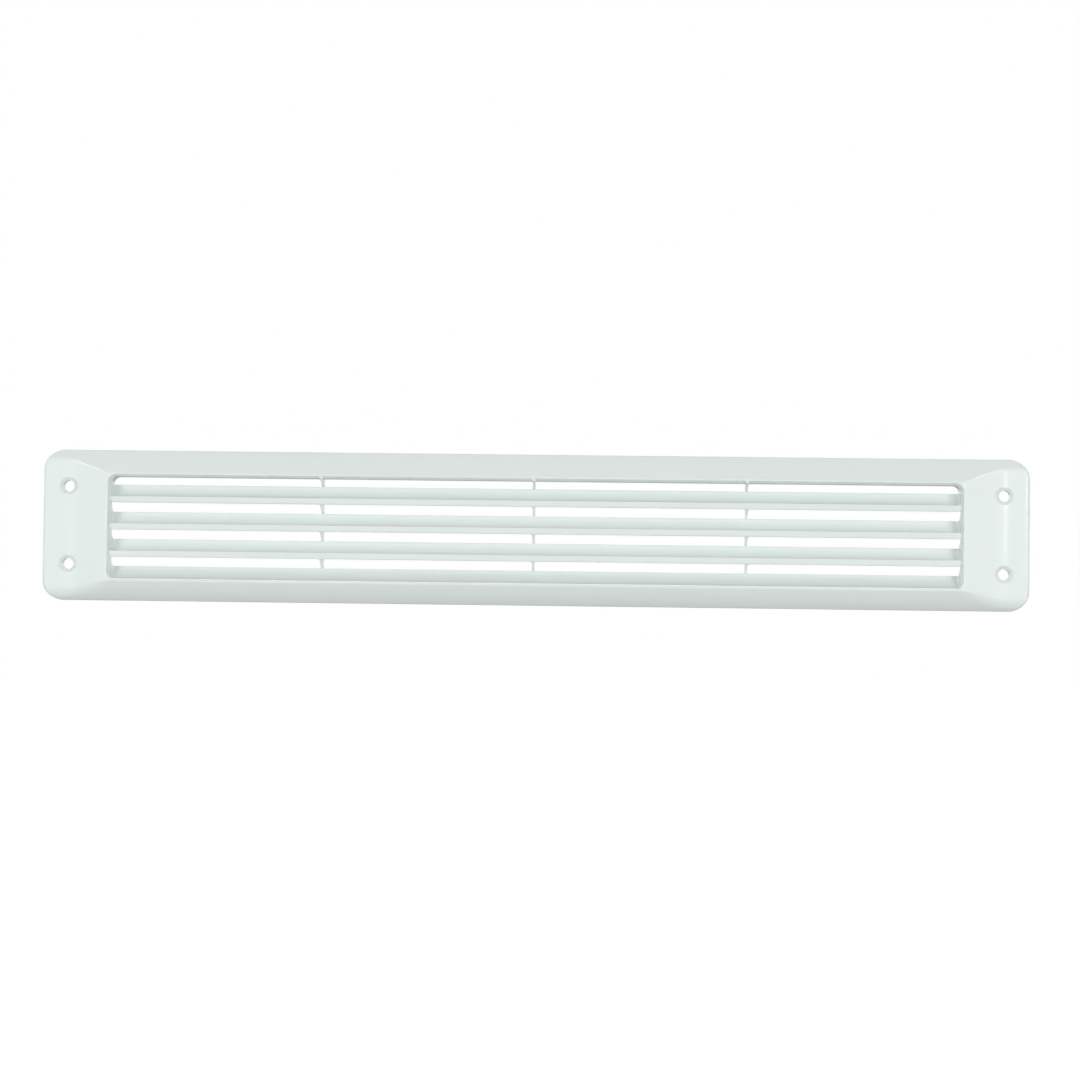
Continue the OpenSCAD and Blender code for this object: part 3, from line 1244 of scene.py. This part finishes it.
@dataclass(frozen=True)
class Studio:
    """A pale floor, a white surround and soft light."""

    light_from_above: float = 0.53
    light_from_below: float = 0.12
    floor_level: float = -0.30
    floor_size: float = 12.0
    floor_colour: tuple[float, float, float] = (0.50, 0.50, 0.50)
    floor_glow: float = 0.83
    softboxes: tuple[Softbox, ...] = (
        Softbox("left_softbox", (-1.25, -1.70, -0.08), size=(0.8, 0.4), power=16.4, mirrored=False),
        Softbox("right_softbox", (1.25, -1.70, -0.08), size=(0.8, 0.4), power=16.4, mirrored=False),
        Softbox("left_glint", (-1.05, -1.13, 1.30), size=(0.20, 0.10), power=3.2, lights_up=False),
        Softbox("right_glint", (0.95, -1.18, 1.32), size=(0.20, 0.10), power=3.2, lights_up=False),
        Softbox("low_right_glint", (0.62, -1.35, 0.075), size=(0.12, 0.03), power=0.38, lights_up=False),
        Softbox("rear_softbox", (0.0, 1.7, 0.30), size=(1.4, 0.6), power=9.0, mirrored=False),
    )

    def backdrop(self) -> None:
        """Lights the scene from the world and keeps what the camera sees of it white."""
        world = bpy.data.worlds.new("studio_world")
        bpy.context.scene.world = world
        world.use_nodes = True
        nodes = world.node_tree.nodes
        links = world.node_tree.links
        lighting = nodes["Background"]
        lighting.inputs["Color"].default_value = WHITE
        split = nodes.new("ShaderNodeSeparateXYZ")
        links.new(nodes.new("ShaderNodeTexCoord").outputs["Generated"], split.inputs[0])
        slope = nodes.new("ShaderNodeMapRange")
        slope.inputs["From Min"].default_value = -1.0
        slope.inputs["To Min"].default_value = self.light_from_below
        slope.inputs["To Max"].default_value = self.light_from_above
        links.new(split.outputs["Z"], slope.inputs["Value"])
        links.new(slope.outputs["Result"], lighting.inputs["Strength"])
        white = nodes.new("ShaderNodeBackground")
        white.inputs["Color"].default_value = WHITE
        white.inputs["Strength"].default_value = 1.0
        paths = nodes.new("ShaderNodeLightPath")
        seen = paths.outputs["Is Camera Ray"]
        for ray in ("Is Glossy Ray", "Is Transmission Ray"):
            either = nodes.new("ShaderNodeMath")
            either.operation = "MAXIMUM"
            links.new(seen, either.inputs[0])
            links.new(paths.outputs[ray], either.inputs[1])
            seen = either.outputs[0]
        choice = nodes.new("ShaderNodeMixShader")
        links.new(seen, choice.inputs["Fac"])
        links.new(lighting.outputs[0], choice.inputs[1])
        links.new(white.outputs[0], choice.inputs[2])
        links.new(choice.outputs[0], nodes["World Output"].inputs["Surface"])

    def floor_material(self) -> bpy.types.Material:
        """Builds a matt pale finish that the camera sees as white where nothing shades it.

        Returns:
            The new material.
        """
        material = bpy.data.materials.new("pale_floor")
        material.use_nodes = True
        nodes = material.node_tree.nodes
        links = material.node_tree.links
        matt = nodes["Principled BSDF"]
        matt.inputs["Base Color"].default_value = (*self.floor_colour, 1.0)
        matt.inputs["Roughness"].default_value = 1.0
        matt.inputs["Specular IOR Level"].default_value = 0.0
        glow = nodes.new("ShaderNodeEmission")
        paths = nodes.new("ShaderNodeLightPath")
        lift = nodes.new("ShaderNodeMath")
        lift.operation = "MULTIPLY"
        lift.inputs[1].default_value = self.floor_glow
        links.new(paths.outputs["Is Camera Ray"], lift.inputs[0])
        links.new(lift.outputs[0], glow.inputs["Strength"])
        both = nodes.new("ShaderNodeAddShader")
        links.new(matt.outputs[0], both.inputs[0])
        links.new(glow.outputs[0], both.inputs[1])
        links.new(both.outputs[0], nodes["Material Output"].inputs["Surface"])
        return material

    def build(self) -> None:
        """Sets up the world, the floor and the lights."""
        bpy.context.scene.view_settings.view_transform = "Standard"
        self.backdrop()
        clear_selection()
        bpy.ops.mesh.primitive_plane_add(size=self.floor_size, location=(0.0, 0.0, self.floor_level))
        floor = bpy.context.active_object
        floor.name = "studio_floor"
        floor.data.materials.append(self.floor_material())
        for softbox in self.softboxes:
            softbox.build()


def main() -> None:
    """Builds the camera, the studio and each piece in turn."""
    logging.basicConfig(level=logging.INFO, format="%(message)s")
    PhotoCamera().build()
    Studio().build()
    plastic = MouldedPlastic().material()
    opening = Opening()
    blades = (
        LouvreBlade(opening, "lipped_blade_top", "louvre_blade_top", 0),
        LouvreBlade(opening, "lipped_blade_middle", "louvre_blade_middle", 1),
        LouvreBlade(opening, "lipped_blade_bottom", "louvre_blade_bottom", 2),
        SillBlade(opening, "sloping_sill", "sill_blade", 3),
    )
    ribs = (
        TieRib(opening, blades, "tie_rib_left", "rib_left", RibPlace.LEFT),
        TieRib(opening, blades, "tie_rib_centre", "rib_centre", RibPlace.CENTRE),
        TieRib(opening, blades, "tie_rib_right", "rib_right", RibPlace.RIGHT),
    )
    for part in (FaceFrame(opening), *blades, *ribs):
        piece = part.build(plastic)
        log.info("%s: %d faces", piece.name, len(piece.data.polygons))


if __name__ == "__main__":
    main()
